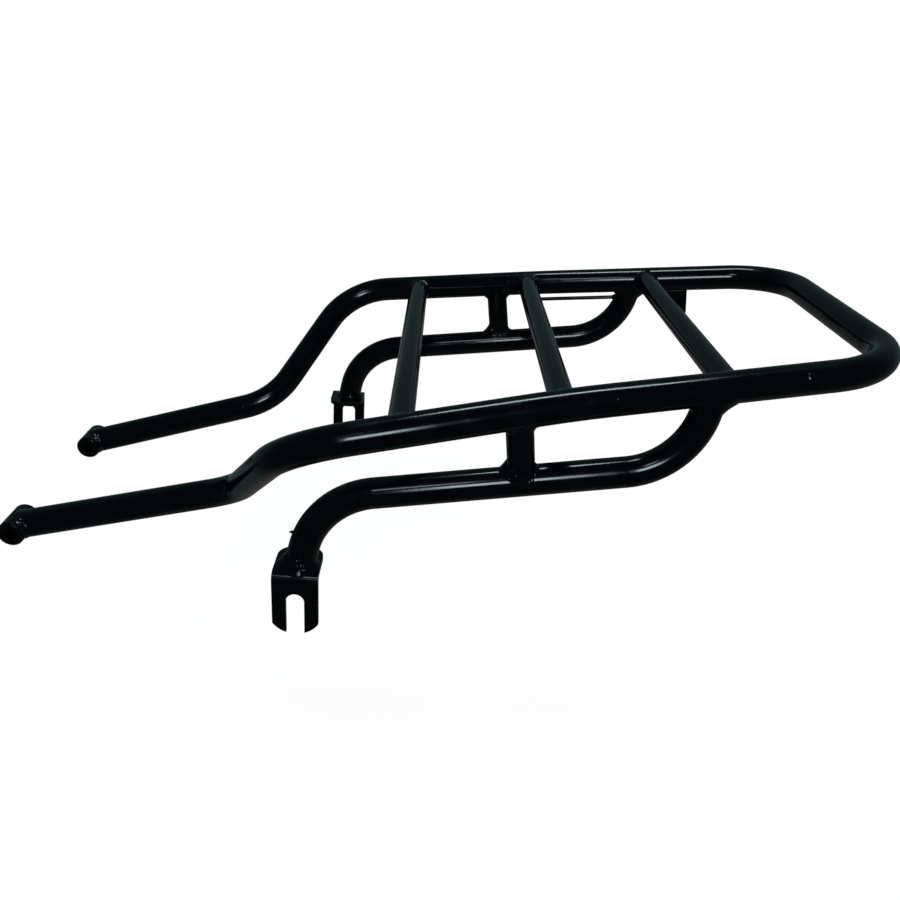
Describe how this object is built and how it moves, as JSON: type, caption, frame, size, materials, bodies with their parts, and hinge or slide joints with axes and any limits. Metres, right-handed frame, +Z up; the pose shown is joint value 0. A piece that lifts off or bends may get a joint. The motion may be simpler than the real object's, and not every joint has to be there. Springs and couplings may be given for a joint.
{
  "type": "motorcycle luggage rack",
  "caption": "Bent tube luggage rack for a motorcycle's tail, with crossbars, support stays, front bolt bushes and slotted side brackets.",
  "frame": {"origin": "midway between the two front bushes, on the line of their bolts", "axes": "+X rearward along the deck, +Y across to the right side, +Z up from the level deck"},
  "size_m": [0.5807, 0.3286, 0.1397],
  "materials": {
    "black_paint": "gloss"
  },
  "bodies": {
    "root": {"main_hoop": "black_paint", "left_bush": "black_paint", "right_bush": "black_paint", "front_crossbar": "black_paint", "middle_crossbar": "black_paint", "rear_crossbar": "black_paint", "left_stay": "black_paint", "right_stay": "black_paint", "left_strut": "black_paint", "right_strut": "black_paint", "left_bracket": "black_paint", "right_bracket": "black_paint", "strap_wire": "black_paint", "side_tab": "black_paint", "left_bush_weld": "black_paint", "right_bush_weld": "black_paint", "front_bar_left_weld": "black_paint", "front_bar_right_weld": "black_paint", "middle_bar_left_weld": "black_paint", "middle_bar_right_weld": "black_paint", "rear_bar_left_weld": "black_paint", "rear_bar_right_weld": "black_paint", "left_stay_weld": "black_paint", "right_stay_weld": "black_paint", "left_foot_weld": "black_paint", "right_foot_weld": "black_paint", "left_strut_top_weld": "black_paint", "right_strut_top_weld": "black_paint", "left_strut_foot_weld": "black_paint", "right_strut_foot_weld": "black_paint"}
  },
  "joints": []
}
